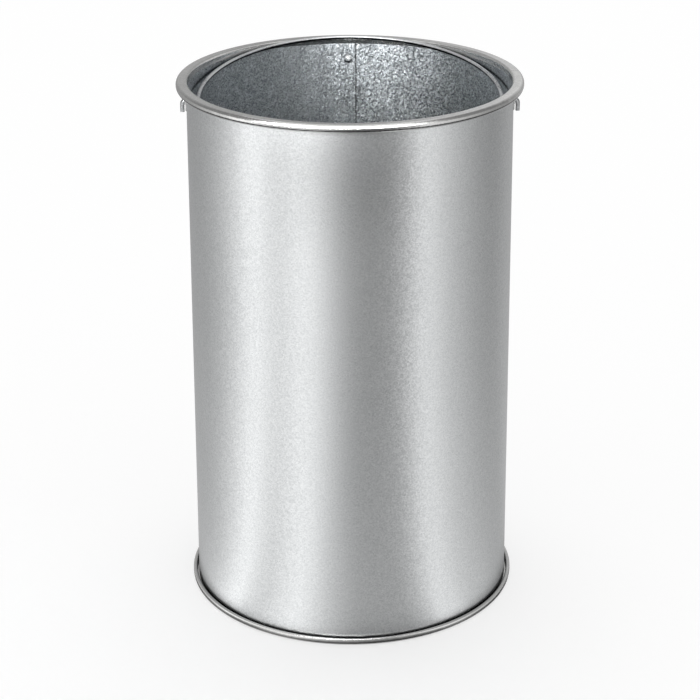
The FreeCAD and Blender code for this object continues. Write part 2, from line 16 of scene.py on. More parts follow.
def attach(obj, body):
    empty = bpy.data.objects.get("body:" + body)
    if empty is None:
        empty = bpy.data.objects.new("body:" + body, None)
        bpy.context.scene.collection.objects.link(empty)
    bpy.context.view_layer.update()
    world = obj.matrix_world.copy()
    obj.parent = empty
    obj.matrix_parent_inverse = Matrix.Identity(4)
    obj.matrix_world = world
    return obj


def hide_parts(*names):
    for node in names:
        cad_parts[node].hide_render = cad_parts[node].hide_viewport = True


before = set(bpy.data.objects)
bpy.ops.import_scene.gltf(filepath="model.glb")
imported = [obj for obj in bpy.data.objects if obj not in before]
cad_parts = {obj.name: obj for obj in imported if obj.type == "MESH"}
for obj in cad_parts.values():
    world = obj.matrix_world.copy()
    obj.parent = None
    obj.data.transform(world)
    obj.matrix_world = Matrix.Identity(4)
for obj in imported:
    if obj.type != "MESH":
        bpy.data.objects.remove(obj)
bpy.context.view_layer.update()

# %% [markdown]
# ## Sizes
#
# All lengths are in metres, because Blender and the frame both count in metres. They are the
# sizes of the real sheet metal: a gauge of 0.7 mm, a 4 mm wire, and a wall that is 3.5 mm wider
# in radius at the floor than at the rim. Two sheets that slide together leave a tenth of a
# millimetre between them.

# %% Sizes of the sheet metal
MM = 0.001
GAUGE = 0.7 * MM
SLIP = 0.1 * MM
CREST = 506 * MM
WALL_TOP = 150 * MM
WALL_FLARE = 3.5 * MM
WALL_LOW, WALL_HIGH = 0.8 * MM, 503 * MM
PIVOT = 484 * MM
EAR_HOLE = 3 * MM
EAR_FACE = 1.1 * MM
PAN_HEIGHT = 12 * MM


def wall_radius(height):
    """The outside of the wall at a height."""
    return WALL_TOP + WALL_FLARE * (1 - height / CREST)


PAN_RADIUS = wall_radius(PAN_HEIGHT) - GAUGE - SLIP
print("wall radius at the floor and the rim:", wall_radius(0), wall_radius(CREST))

# %% [markdown]
# ## Camera
#
# The photograph looks down at the can by about 23 degrees, from nearly two metres away. A long
# lens keeps the sides of the can close to parallel. The turn of a quarter of a degree follows the
# slight lean of the can in the picture.

# %% Camera
def make_camera():
    lens = bpy.data.cameras.new("camera")
    lens.sensor_width = 36
    lens.lens = 105.17
    lens.clip_end = 50
    camera = bpy.data.objects.new("camera", lens)
    bpy.context.scene.collection.objects.link(camera)
    look_down = Matrix.Rotation(math.radians(90 - 22.65), 4, "X")
    turn_left = Matrix.Rotation(math.radians(0.027), 4, "Z")
    lean = Matrix.Rotation(math.radians(-0.22), 4, "Z")
    camera.matrix_world = Matrix.Translation((0, -1.825, 0.996)) @ turn_left @ look_down @ lean
    bpy.context.scene.camera = camera
    return camera


camera = make_camera()
print("camera at", tuple(round(c, 3) for c in camera.location), "with a lens of", camera.data.lens)

# %% [markdown]
# ## Helpers for the mesh
#
# Nearly every piece of this can is a flat profile turned about the can's axis, as a spinner or a
# roll former makes it. So a piece starts as a list of points, distance from the axis and height,
# and a short function turns it into a ring of faces.

# %% Soft steps and tables
def fade(number, full, none):
    """1 up to the first number, 0 past the second, and a straight line between them."""
    return min(max((none - number) / (none - full), 0), 1)


def ease(share):
    """A share from 0 to 1, with a soft start and a soft end."""
    return share ** 2 * (3 - 2 * share)


def look_up(table, place):
    """What a table of places and numbers gives between two of its rows, or else None."""
    for (low, one), (high, two) in zip(table, table[1:]):
        if low <= place <= high:
            return one + (two - one) * (place - low) / max(high - low, 1e-9)
    return None


print("half way through a fade:", fade(1.5, 1, 2), "and through an ease:", ease(0.5))

# %% Turn a profile into a mesh
SMOOTH_ANGLE = 35


def new_piece(name, mesh, material=None, smooth_angle=SMOOTH_ANGLE):
    """A finished object from a bmesh, smooth except where its faces meet at a sharp edge."""
    bmesh.ops.recalc_face_normals(mesh, faces=mesh.faces)
    data = bpy.data.meshes.new(name)
    mesh.to_mesh(data)
    mesh.free()
    data.shade_smooth()
    piece = bpy.data.objects.new(name, data)
    bpy.context.scene.collection.objects.link(piece)
    sharpen(data, smooth_angle)
    if material:
        data.materials.append(material)
    return piece


def sharpen(data, smooth_angle):
    """Mark the edges where two faces meet at more than an angle."""
    mesh = bmesh.new()
    mesh.from_mesh(data)
    limit = math.radians(smooth_angle)
    for edge in mesh.edges:
        edge.smooth = len(edge.link_faces) == 2 and edge.calc_face_angle(0) < limit
    mesh.to_mesh(data)
    mesh.free()


def turned(profile, first=0, sweep=360, count=360):
    """A bmesh of a closed profile turned about the vertical axis, capped if it isn't full."""
    mesh = bmesh.new()
    full = sweep == 360
    rings = []
    for i in range(count if full else count + 1):
        angle = math.radians(first + sweep * i / count)
        across = Vector((math.cos(angle), math.sin(angle), 0))
        rings.append([mesh.verts.new(across * radius + Vector((0, 0, height)))
                      for radius, height in profile])
    for i in range(count):
        one, two = rings[i], rings[(i + 1) % len(rings)]
        for k in range(len(profile)):
            j = (k + 1) % len(profile)
            mesh.faces.new((one[k], two[k], two[j], one[j]))
    if not full:
        mesh.faces.new(rings[0])
        mesh.faces.new(list(reversed(rings[-1])))
    bmesh.ops.remove_doubles(mesh, verts=mesh.verts, dist=1e-7)
    return mesh


def join_loops(mesh, one, two):
    """A band of faces between two closed loops of as many points."""
    for k in range(len(one)):
        j = (k + 1) % len(one)
        mesh.faces.new((one[k], one[j], two[j], two[k]))


def arc(centre, radius, start, end, count):
    """Points of an arc in the plane of a profile, with its angles in degrees."""
    points = []
    for i in range(count + 1):
        angle = math.radians(start + (end - start) * i / count)
        points.append((centre[0] + radius * math.cos(angle), centre[1] + radius * math.sin(angle)))
    return points


def thicken(skin, gauge):
    """A closed profile: the skin and the same line again, one gauge to its right."""
    sharpest = 0.3
    inner = []
    for i, point in enumerate(skin):
        before = Vector(skin[max(i - 1, 0)])
        after = Vector(skin[min(i + 1, len(skin) - 1)])
        here = Vector(point)
        ahead = (after - here).normalized() if (after - here).length > 1e-9 else None
        back = (here - before).normalized() if (here - before).length > 1e-9 else None
        ahead, back = ahead or back, back or ahead
        middle = (ahead + back).normalized()
        side = Vector((middle.y, -middle.x))
        reach = gauge / max(side.dot(Vector((back.y, -back.x))), sharpest)
        inner.append(tuple(here + side * reach))
    return list(skin) + inner[::-1]


print("a strip one gauge thick:", len(thicken([(0, 0), (0, 1)], GAUGE)), "corners")

# %% [markdown]
# ## Finishes
#
# Hot-dip zinc freezes into crystals, called spangle. On the outside of this can the crystals are
# so fine that the sheet looks satin. Inside they are large enough to see, and their darker colour
# is painted shade. Both come from the same few node groups, placed with their own values in each
# metal.

# %% Helpers for node trees
FLOAT, VECTOR, COLOUR = "NodeSocketFloat", "NodeSocketVector", "NodeSocketColor"


def add_node(tree, kind, **settings):
    node = tree.nodes.new(kind)
    for key, setting in settings.items():
        setattr(node, key, setting)
    return node


def feed(socket, source):
    """Link an output to an input, or set the input to a number."""
    if isinstance(source, bpy.types.NodeSocket):
        socket.id_data.links.new(source, socket)
    else:
        socket.default_value = source


def fill(node, **sources):
    """Feed inputs by name. A single underscore in a key stands for a space."""
    for key, source in sources.items():
        feed(node.inputs[key.replace("_", " ")], source)
    return node


def compute(tree, operation, *sources, kind="ShaderNodeMath"):
    """The result of one step of arithmetic."""
    node = add_node(tree, kind, operation=operation)
    for socket, source in zip(node.inputs, sources):
        feed(socket, source)
    return node.outputs[0]


def compute_vector(tree, operation, *sources):
    return compute(tree, operation, *sources, kind="ShaderNodeVectorMath")


def scaled(tree, vector, factor):
    node = add_node(tree, "ShaderNodeVectorMath", operation="SCALE")
    return fill(node, Vector=vector, Scale=factor).outputs[0]


def new_group(name, inputs, outputs):
    """An empty node group with named sockets, and its two end nodes."""
    group = bpy.data.node_groups.new(name, "ShaderNodeTree")
    for label, kind, number in inputs:
        socket = group.interface.new_socket(label, in_out="INPUT", socket_type=kind)
        if number is not None:
            socket.default_value = number
    for label, kind in outputs:
        group.interface.new_socket(label, in_out="OUTPUT", socket_type=kind)
    return group, add_node(group, "NodeGroupInput"), add_node(group, "NodeGroupOutput")


print("kinds of sockets in the groups:", FLOAT, VECTOR, COLOUR)

# %% [markdown]
# The first group draws the crystals. Cells of a Voronoi pattern are the crystals, and a little
# noise bends their borders. Each crystal has a tone and lies at its own small tilt, so that it
# catches the light at its own angle.

# %% Group: crystals of zinc
BORDER_BEND = 0.6


def make_spangle():
    group, given, result = new_group("zinc spangle", [
        ("Position", VECTOR, None), ("Surface normal", VECTOR, None),
        ("Crystal size", FLOAT, 0.006), ("Tilt", FLOAT, 0.1)],
        [("Tone", FLOAT), ("Tilted normal", VECTOR)])
    position, size = given.outputs["Position"], given.outputs["Crystal size"]
    frequency = compute(group, "DIVIDE", 1, size)
    noise = fill(add_node(group, "ShaderNodeTexNoise"), Vector=position, Scale=frequency,
                 Detail=2, Roughness=0.6)
    bend = scaled(group, noise.outputs["Color"],
                  compute(group, "MULTIPLY", size, BORDER_BEND))
    cells = fill(add_node(group, "ShaderNodeTexVoronoi", feature="F1"), Scale=frequency,
                 Vector=compute_vector(group, "ADD", position, bend))
    tone = fill(add_node(group, "ShaderNodeSeparateColor"), Color=cells.outputs["Color"])
    centred = compute_vector(group, "SUBTRACT", cells.outputs["Color"], (0.5, 0.5, 0.5))
    tilted = compute_vector(group, "ADD", given.outputs["Surface normal"],
                            scaled(group, centred, given.outputs["Tilt"]))
    fill(result, Tone=tone.outputs[0], Tilted_normal=compute_vector(group, "NORMALIZE", tilted))
    return group


spangle = make_spangle()
print("group:", spangle.name, "with", len(spangle.nodes), "nodes")

# %% [markdown]
# The second group is the fine grain that rolling and dipping leave on all zinc: a close noise
# that is a little longer one way than the other. The third is the slow change of tone across a
# sheet.

# %% Groups: fine grain and slow patches
def make_noise_group(name, stretch, detail, roughness):
    """A noise whose grain has a size, stretched by its own factors along the three axes."""
    group, given, result = new_group(name, [
        ("Position", VECTOR, None), ("Size", FLOAT, 0.001)], [("Tone", FLOAT)])
    noise = fill(add_node(group, "ShaderNodeTexNoise"), Detail=detail, Roughness=roughness,
                 Vector=compute_vector(group, "MULTIPLY", given.outputs["Position"], stretch),
                 Scale=compute(group, "DIVIDE", 1, given.outputs["Size"]))
    spread = fill(add_node(group, "ShaderNodeMapRange"), Value=noise.outputs["Fac"],
                  From_Min=0.25, From_Max=0.75)
    fill(result, Tone=spread.outputs[0])
    return group


fine_grain = make_noise_group("fine grain", (1, 1, 1.5), 3, 0.6)
slow_patches = make_noise_group("slow patches", (1, 1, 0.35), 2, 0.5)
print("groups:", fine_grain.name, "and", slow_patches.name)

# %% [markdown]
# The mesh code stores a number at each vertex where the metal is darkened: painted shadow under
# the wire, painted shade round the rivets, along the rim's roll, in the foot's groove and at the
# lap's inner corner, and a little real dullness on the hooks. The fourth group turns that number
# into a ragged mask that darkens the metal. A piece without the number keeps its own colour.

# %% Group: painted shade and grime
# The colour that painted shade, and the hooks' dullness, give the metal.
SHADE_AND_DIRT_COLOUR = (0.015, 0.016, 0.018, 1)
SHADE_AND_DIRT_SIZE = 1.5 * MM


# Darkens a colour by the number at each vertex: painted shade, and a little dullness on the hooks.
def make_shade_and_grime():
    group, given, result = new_group("shade_and_grime", [
        ("Colour", COLOUR, None), ("Amount", FLOAT, 0.0), ("Position", VECTOR, None),
        ("Size", FLOAT, 0.002)], [("Colour", COLOUR)])
    noise = fill(add_node(group, "ShaderNodeTexNoise"), Vector=given.outputs["Position"],
                 Scale=compute(group, "DIVIDE", 1, given.outputs["Size"]),
                 Detail=2, Roughness=0.5)
    ragged = compute(group, "MULTIPLY_ADD", noise.outputs["Fac"], 0.6, given.outputs["Amount"])
    mask = fill(add_node(group, "ShaderNodeMapRange"), Value=ragged, From_Min=0.42, From_Max=1.1)
    darker = fill(add_node(group, "ShaderNodeMix", data_type="RGBA"), Factor=mask.outputs[0],
                  A=given.outputs["Colour"], B=SHADE_AND_DIRT_COLOUR)
    fill(result, Colour=darker.outputs["Result"])
    return group


shade_and_grime = make_shade_and_grime()
print("group:", shade_and_grime.name)

# %% [markdown]
# A metal is then a short recipe. Its colour lies between a dark and a light zinc, and the three
# groups move it between the two. Its roughness moves a little too, and the crystals tilt the
# surface. What is the same all over, such as the metallic value, is set on the shader itself.

# %% The recipe for a zinc finish
def mix_tones(tree, tones, weights):
    """A weighted sum of tones."""
    total = 0
    for tone, weight in zip(tones, weights):
        total = compute(tree, "MULTIPLY_ADD", tone, weight, total)
    return total


def place_group(tree, group, **sources):
    return fill(add_node(tree, "ShaderNodeGroup", node_tree=group), **sources)


def zinc(name, dark, light, smooth, rough, crystal, tilt, grain, patch, weights, bump,
         metallic=1.0):
    """A zinc finish. The weights say how far crystals, grain and patches move the colour."""
    material = bpy.data.materials.new(name)
    material.use_nodes = True
    tree = material.node_tree
    position = add_node(tree, "ShaderNodeTexCoord").outputs["Object"]
    surface = add_node(tree, "ShaderNodeNewGeometry").outputs["Normal"]
    crystals = place_group(tree, spangle, Position=position, Surface_normal=surface,
                           Crystal_size=crystal, Tilt=tilt)
    close = place_group(tree, fine_grain, Position=position, Size=grain).outputs["Tone"]
    slow = place_group(tree, slow_patches, Position=position, Size=patch).outputs["Tone"]
    colour = fill(add_node(tree, "ShaderNodeMix", data_type="RGBA"),
                  A=(*dark, 1), B=(*light, 1),
                  Factor=mix_tones(tree, (crystals.outputs["Tone"], close, slow), weights))
    # Painted shade from the mesh, and the hooks' dullness, darken the colour here.
    mark = add_node(tree, "ShaderNodeAttribute", attribute_name="shade_and_grime")
    with_shade_and_grime = place_group(tree, shade_and_grime, Position=position, Size=SHADE_AND_DIRT_SIZE,
                        Colour=colour.outputs["Result"], Amount=mark.outputs["Fac"])
    gloss = fill(add_node(tree, "ShaderNodeMapRange"), To_Min=smooth, To_Max=rough,
                 Value=mix_tones(tree, (slow, close), (0.5, 0.5)))
    relief = fill(add_node(tree, "ShaderNodeBump"), Strength=1.0, Distance=bump, Height=close,
                  Normal=crystals.outputs["Tilted normal"])
    fill(tree.nodes["Principled BSDF"], Metallic=metallic, Roughness=gloss.outputs[0],
         Base_Color=with_shade_and_grime.outputs["Colour"], Normal=relief.outputs[0])
    return material


print("groups in the recipe:",
      ", ".join(group.name for group in (spangle, fine_grain, slow_patches, shade_and_grime)))

# %% The finishes of this can
satin = zinc("satin zinc", dark=(0.44, 0.455, 0.46), light=(0.84, 0.85, 0.855),
             smooth=0.27, rough=0.33, crystal=0.0012, tilt=0.065, grain=0.0010, patch=0.09,
             weights=(0.32, 0.58, 0.10), bump=0.00003)
# Inside finish: the large spangle is real, and its darker colour is painted shade for the inside
# of the can.
coarse_and_shaded = zinc("spangled zinc", dark=(0.0, 0.01, 0.02), light=(0.82, 0.86, 0.885),
              smooth=0.38, rough=0.48, crystal=0.0013, tilt=0.24, grain=0.0010, patch=0.06,
              weights=(0.45, 0.50, 0.05), bump=0.00003)
burnished = zinc("burnished zinc", dark=(0.50, 0.50, 0.495), light=(0.76, 0.76, 0.75),
                 smooth=0.13, rough=0.20, crystal=0.0025, tilt=0.05, grain=0.0010, patch=0.05,
                 weights=(0.2, 0.4, 0.4), bump=0.00004)
bright = zinc("bright zinc", dark=(0.62, 0.63, 0.64), light=(0.86, 0.87, 0.88),
              smooth=0.25, rough=0.36, crystal=0.002, tilt=0.05, grain=0.0008, patch=0.02,
              weights=(0.2, 0.4, 0.4), bump=0.00002)
hammered = zinc("hammered rivet head", dark=(0.86, 0.87, 0.88), light=(0.96, 0.97, 0.98),
                smooth=0.55, rough=0.65, crystal=0.002, tilt=0.03, grain=0.0008, patch=0.02,
                weights=(0.2, 0.4, 0.4), bump=0.00001, metallic=0.6)
drawn = zinc("drawn wire", dark=(0.50, 0.51, 0.52), light=(0.76, 0.77, 0.78),
             smooth=0.22, rough=0.36, crystal=0.002, tilt=0.04, grain=0.0009, patch=0.03,
             weights=(0.2, 0.4, 0.4), bump=0.00002)
print("finishes:", ", ".join(
    finish.name for finish in (satin, coarse_and_shaded, burnished, bright, hammered, drawn)))

# %% [markdown]
# ## The line of the bail
#
# The handle is one wire. It runs across the back of the mouth in a flat arc, down both sides,
# bends out through the eyelets, and ends in a short hook outside each wall. At rest it lies on
# the shoulder of the rim, tilted by about nine degrees. Its line comes first, because a painted
# shadow of the wire lies on the sheet beside it.

# %% The line of the bail
BAIL_LENGTH = 148.75 * MM
BAIL_TILT = math.radians(8.59)
WIRE_RADIUS = 1.98 * MM


def bail_line():
    """Points of the right half of the wire, from the end of the hook to the middle of the back."""
    half_width, back_radius, corner = 140 * MM, 135 * MM, 6 * MM
    hook_bend, hook_drop = 3.2 * MM, 10.7 * MM
    start = wall_radius(PIVOT) + EAR_FACE
    hook = [(start + hook_bend, i * MM - hook_drop) for i in range(4)]
    hook += arc((start, -hook_bend), hook_bend, 0, 90, 14)
    points = [Vector((x, 0, z)) for x, z in hook]
    rise = BAIL_LENGTH - back_radius - corner
    side = ((half_width ** 2 + rise ** 2 - back_radius ** 2)
            / (2 * (half_width - back_radius)))
    meet = math.degrees(math.atan2(rise, side - half_width))
    bow = [(start + (half_width + corner - start) * i / 4, 0) for i in range(1, 4)]
    bow += arc((half_width + corner, corner), corner, 270, 180, 14)
    bow += arc((half_width - side, corner), side, 0, meet, 40)[1:]
    bow += arc((0, BAIL_LENGTH - back_radius), back_radius, meet, 90, 20)[1:]
    lean = Matrix.Rotation(BAIL_TILT, 4, "X")
    points += [lean @ Vector((x, y, 0)) for x, y in bow]
    return [point + Vector((0, 0, PIVOT)) for point in points]


right = bail_line()
left = [Vector((-point.x, point.y, point.z)) for point in reversed(right[:-1])]
wire_line = right + left
print("bail:", len(wire_line), "points,",
      round(sum((b - a).length for a, b in zip(wire_line, wire_line[1:])), 4), "m of wire")

# %% [markdown]
# The dark marks are numbers from 0 to 1, worked out for each point of the sheet. They are
# painted shade: a painted shadow just below the bow of the wire, a ring of painted shade round
# each rivet, deepest below it, and painted shade in the groove at the foot.

# %% The painted shade on the sheet
BOW_SIDE = 146 * MM
WIRE_SHADOW_DROP, WIRE_SHADOW_WIDTH = 1.4 * MM, 1.7 * MM
RING_RADIUS = 4.1 * MM
RIVET_X = -1.6 * MM
RIVET_HEIGHTS = [(484.6 - 454.6 * index / 4) * MM for index in range(5)]
GROOVE = (4.6 * MM, 5.8 * MM)
WIRE_HEIGHTS = sorted((math.degrees(math.atan2(point.y, point.x)), point.z)
                      for point in right if point.x < BOW_SIDE)


def wire_shadow_mark(point):
    """A painted shadow just under the wire in the mouth, and fainter painted shade below it at the
    back.
    """
    azimuth = math.degrees(math.atan2(point.y, abs(point.x)))
    height = look_up(WIRE_HEIGHTS, azimuth)
    if azimuth < 0 or height is None:
        return 0
    away = (point.z - height + WIRE_SHADOW_DROP) / WIRE_SHADOW_WIDTH
    line = 0.85 * math.exp(-away * away) * min(azimuth / 12, 1)
    shade_below = 0.35 * fade(height - point.z, 3 * MM, 12 * MM) * fade(90 - azimuth, 8, 20)
    return max(line, shade_below if point.z < height else 0)


def rivet_shade_mark(point):
    """A ring of painted shade round each rivet inside, darker on its lower half."""
    height = min(RIVET_HEIGHTS, key=lambda height: abs(point.z - height))
    away = math.hypot(point.x - RIVET_X, point.z - height)
    below = max((height - point.z) / max(away, 1e-9), 0)
    ring = fade(abs(away - RING_RADIUS), 0.3 * MM, 1.5 * MM) if point.y > 0 else 0
    return (0.45 + 0.5 * below) * ring


# Painted shade in the groove between the foot's lip and the outside of the wall.
def groove_shade_mark(point):
    return 0.8 * fade(point.z, *GROOVE)


# Stores painted shade, or the hooks' dullness, as a number at every vertex.
def paint_shade_and_grime(mesh, amount):
    """Store a number from 0 to 1 at every vertex of a bmesh."""
    layer = mesh.verts.layers.float.new("shade_and_grime")
    for vertex in mesh.verts:
        vertex[layer] = amount(vertex.co)


print("rub mark: from", round(WIRE_HEIGHTS[0][1], 4), "to", round(WIRE_HEIGHTS[-1][1], 4),
      "m high")

# %% [markdown]
# ## The wall and its lap seam
#
# The wall is one sheet, rolled round until its two ends lap. Near the start the sheet is joggled:
# it steps in by its own thickness, so that the far end lies over it and the outside stays flush.
# The sheet is drawn here as a net of cells, column by column round the can and row by row up it.
# A cell that the sheet doesn't have, as at the notches of the lap, is simply left out. Beside
# the free edge inside, a thin dark line of painted shade runs along the corner.

# %% Columns and rows of the wall
SEAM = 90
SUNK = GAUGE + 0.05 * MM
LAP_RANGE = (13 * MM, 498.5 * MM)
SUNK_COLUMNS, STEP_COLUMNS, ROUND_COLUMNS = 20, 8, 420
EVEN_ROWS, EVEN_TOP = 36, 470 * MM


def seam_angle(across):
    """The direction of a point of the seam that lies to the right of its middle, in degrees."""
    return SEAM - math.degrees(across / WALL_TOP)


INNER_END, STEP_FOOT = seam_angle(5.4 * MM), seam_angle(-8.7 * MM)
STEP_TOP, OUTER_END = seam_angle(-10.5 * MM), seam_angle(-8.6 * MM) + 360
LINE_WIDTH = 0.55


def wall_columns():
    """Direction and depth of each column, from the sunk edge of the sheet to its free end."""
    columns = [(INNER_END + (STEP_FOOT - INNER_END) * i / SUNK_COLUMNS, SUNK)
               for i in range(SUNK_COLUMNS)]
    for i in range(STEP_COLUMNS + 1):
        share = i / STEP_COLUMNS
        columns.append((STEP_FOOT + (STEP_TOP - STEP_FOOT) * share, SUNK * (1 - ease(share))))
    turns = {STEP_TOP + (OUTER_END - STEP_TOP) * i / ROUND_COLUMNS
             for i in range(1, ROUND_COLUMNS + 1)}
    turns.update(INNER_END + 360 - step * LINE_WIDTH / 4 for step in range(5))
    return columns + [(angle, 0) for angle in sorted(turns)]


def wall_rows():
    """Heights of the rows, close together at the groove of the foot and round the ears."""
    rows = {WALL_LOW, WALL_HIGH, *LAP_RANGE, *GROOVE, 8 * MM}
    rows.update(WALL_LOW + (EVEN_TOP - WALL_LOW) * i / EVEN_ROWS for i in range(EVEN_ROWS + 1))
    rows.update(PIVOT + step * MM for step in range(-12, 19))
    return sorted(rows)


print("the net of the wall:", len(wall_columns()), "columns and", len(wall_rows()), "rows")

# %% [markdown]
# Inside, the step of the joggle is drawn wider and softer than outside. The corner beside the
# free inner edge gets its own mark of painted shade.

# %% The wall as a net of cells
SOFT_END = seam_angle(-15.5 * MM)


def inner_depth(angle, height):
    """How far the inner face lies under the wall's own: a sunk band, and a soft step beyond it."""
    share = min(max((angle - STEP_FOOT) / (SOFT_END - STEP_FOOT), 0), 1)
    within = LAP_RANGE[0] <= height <= LAP_RANGE[1]
    return SUNK * (1 - ease(share)) if within else 0


def lap_line(angle):
    """Painted shade, 1 at the corner beside the lap's free inner edge and 0 a little further on.
    """
    away = (INNER_END + 360 - angle) / LINE_WIDTH
    return max(1 - away * away, 0) if 0 <= away <= 1 else 0


def make_wall():
    columns, rows = wall_columns(), wall_rows()
    mesh = bmesh.new()
    layer = mesh.verts.layers.float.new("shade_and_grime")
    corners = {}

    def corner(i, j, side):
        if (i, j, side) not in corners:
            angle, depth = columns[i]
            if side and i >= SUNK_COLUMNS:
                depth = inner_depth(angle, rows[j])
            radius = wall_radius(rows[j]) - depth - side * GAUGE
            across = Vector((math.cos(math.radians(angle)), math.sin(math.radians(angle)), 0))
            vertex = mesh.verts.new(across * radius + Vector((0, 0, rows[j])))
            # Inside: painted shadow of the wire, painted shade at the lap's corner and round the
            # rivets. Outside: painted shade in the foot's groove.
            vertex[layer] = (max(wire_shadow_mark(vertex.co), lap_line(angle), rivet_shade_mark(vertex.co))
                             if side else groove_shade_mark(vertex.co))
            corners[i, j, side] = vertex
        return corners[i, j, side]

    def present(i, j):
        if not (0 <= i < len(columns) - 1 and 0 <= j < len(rows) - 1):
            return False
        return (i >= SUNK_COLUMNS + STEP_COLUMNS
                or (rows[j] >= LAP_RANGE[0] and rows[j + 1] <= LAP_RANGE[1]))

    for i in range(len(columns) - 1):
        for j in range(len(rows) - 1):
            if not present(i, j):
                continue
            for side in (0, 1):
                face = mesh.faces.new([corner(a, b, side) for a, b in (
                    (i, j), (i + 1, j), (i + 1, j + 1), (i, j + 1))])
                face.material_index = side
            for (a, b), edge in (((i - 1, j), ((i, j), (i, j + 1))),
                                 ((i + 1, j), ((i + 1, j), (i + 1, j + 1))),
                                 ((i, j - 1), ((i, j), (i + 1, j))),
                                 ((i, j + 1), ((i, j + 1), (i + 1, j + 1)))):
                if not present(a, b):
                    mesh.faces.new([corner(*edge[0], 0), corner(*edge[1], 0),
                                    corner(*edge[1], 1), corner(*edge[0], 1)])
    return mesh


wall = new_piece("wall_sheet", make_wall())
for finish in (satin, coarse_and_shaded):
    wall.data.materials.append(finish)
print("wall:", len(wall.data.polygons), "faces")

# %% [markdown]
# The holes for the ears are cut with a Boolean modifier, as a punch would. The cutter is a round
# bar through both walls. The modifier's result becomes the mesh, and the bar is thrown away.

# %% Punch the holes of the ears
def punch(piece, radius, reach, height):
    bar = bmesh.new()
    bmesh.ops.create_cone(bar, cap_ends=True, segments=48, radius1=radius, radius2=radius,
                          depth=2 * reach, matrix=Matrix.Translation((0, 0, height))
                          @ Matrix.Rotation(math.pi / 2, 4, "Y"))
    cutter = new_piece("punch", bar)
    modifier = piece.modifiers.new("punch", "BOOLEAN")
    modifier.operation, modifier.object, modifier.solver = "DIFFERENCE", cutter, "EXACT"
    result = bpy.data.meshes.new_from_object(
        piece.evaluated_get(bpy.context.evaluated_depsgraph_get()))
    piece.modifiers.clear()
    old, piece.data = piece.data, result
    bpy.data.meshes.remove(old)
    bpy.data.objects.remove(cutter)


punch(wall, EAR_HOLE, 200 * MM, PIVOT)
sharpen(wall.data, SMOOTH_ANGLE)
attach(wall, "can")
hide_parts("shell")
print("wall after the punch:", len(wall.data.polygons), "faces")

# %% [markdown]
# ## The rim hoop
#
# A separate strip folds over the raw edge of the wall: a short leg inside the mouth, a round
# shoulder, and an oval roll outside, nine millimetres wide and eight high. Its ends butt together
# on the right, where the photograph shows a fine line across the rim.

# %% The rim hoop
SLIT = 0.4 * MM


def rim_profile():
    leg, leg_low, leg_length = WALL_TOP - 1.5 * MM, CREST - 6.5 * MM, 3.6 * MM
    bend, roll = 2.6 * MM, 3.6 * MM
    inner, outer = WALL_TOP + SLIP, WALL_TOP + 9.34 * MM
    underside = CREST - 7.8 * MM
    skin = [(leg, leg_low + leg_length * i / 6) for i in range(7)]
    skin += arc((leg + bend, CREST - bend), bend, 180, 90, 14)
    skin += arc((outer - roll, CREST - roll), roll, 90, 0, 16)
    skin += arc((outer - roll, underside + roll), roll, 0, -90, 16)
    skin += arc((inner + roll, underside + roll), roll, -90, -180, 12)
    skin += [(inner, underside + 3.9 * MM)]
    return thicken(skin, GAUGE)


def make_hoop(name, profile, joint, painted_shade):
    """A ring that is open by the width of a slit, at the direction of its butt joint."""
    gap = math.degrees(SLIT / WALL_TOP)
    mesh = turned(profile, first=joint, sweep=360 - gap)
    # The hoop's painted shade, stored at its vertices.
    paint_shade_and_grime(mesh, painted_shade)
    piece = new_piece(name, mesh, burnished)
    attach(piece, "can")
    return piece


def rim_painted_shade(point):
    """Painted shadow of the wire on the leg, and a line of painted shade round the roll below its
    middle.
    """
    leg_side, line_height = 150.5 * MM, 500.6 * MM
    if point.xy.length < leg_side:
        return wire_shadow_mark(point)
    return 0.75 * fade(abs(point.z - line_height), 0.4 * MM, 1.1 * MM)


rim = make_hoop("rim_roll", rim_profile(), joint=7, painted_shade=rim_painted_shade)
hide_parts("rim_hoop")
print("rim hoop:", len(rim.data.polygons), "faces, outside radius",
      round(max(v.co.x for v in rim.data.vertices), 4))

# %% [markdown]
# ## The foot hoop
#
# The foot is a channel: it holds the wall and the flange of the bottom, lies flat on the floor,
# and ends in a curled lip that stands off the wall. The dark groove between lip and wall is what
# the eye sees first at the foot of the can.

# %% The foot hoop
def foot_profile():
    leg = PAN_RADIUS - 2 * GAUGE - SLIP
    inner_bend, outer_bend = 0.9 * MM, 2.1 * MM
    lip, lip_height = 1.9 * MM, 4.3 * MM
    outer = wall_radius(0) + 1.7 * MM + 2 * lip
    skin = [(leg, 6 * MM)]
    skin += arc((leg + inner_bend, inner_bend), inner_bend, 180, 270, 6)
    skin += arc((outer - outer_bend, outer_bend), outer_bend, -90, 0, 10)
    skin += arc((outer - lip, lip_height), lip, 0, 223, 26)
    return thicken(skin[::-1], GAUGE)


def foot_painted_shade(point):
    """Painted shade in the groove behind the lip and on the edge that stands on the floor."""
    groove = fade(point.xy.length, 155.4 * MM, 156 * MM) * fade(point.z, 2 * MM, 1 * MM)
    return max(groove, 0.8 * fade(point.z, 0.2 * MM, 0.8 * MM))


foot = make_hoop("foot_lip", foot_profile(), joint=97, painted_shade=foot_painted_shade)
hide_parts("foot_hoop")
print("foot hoop:", len(foot.data.polygons), "faces, outside radius",
      round(max(v.co.x for v in foot.data.vertices), 4))

# %% [markdown]
# ## The bottom
#
# The bottom is a pressed disc. Its middle is sunk by 2.5 mm, which stiffens it, and its edge is
# turned down into a flange that the foot hoop holds.

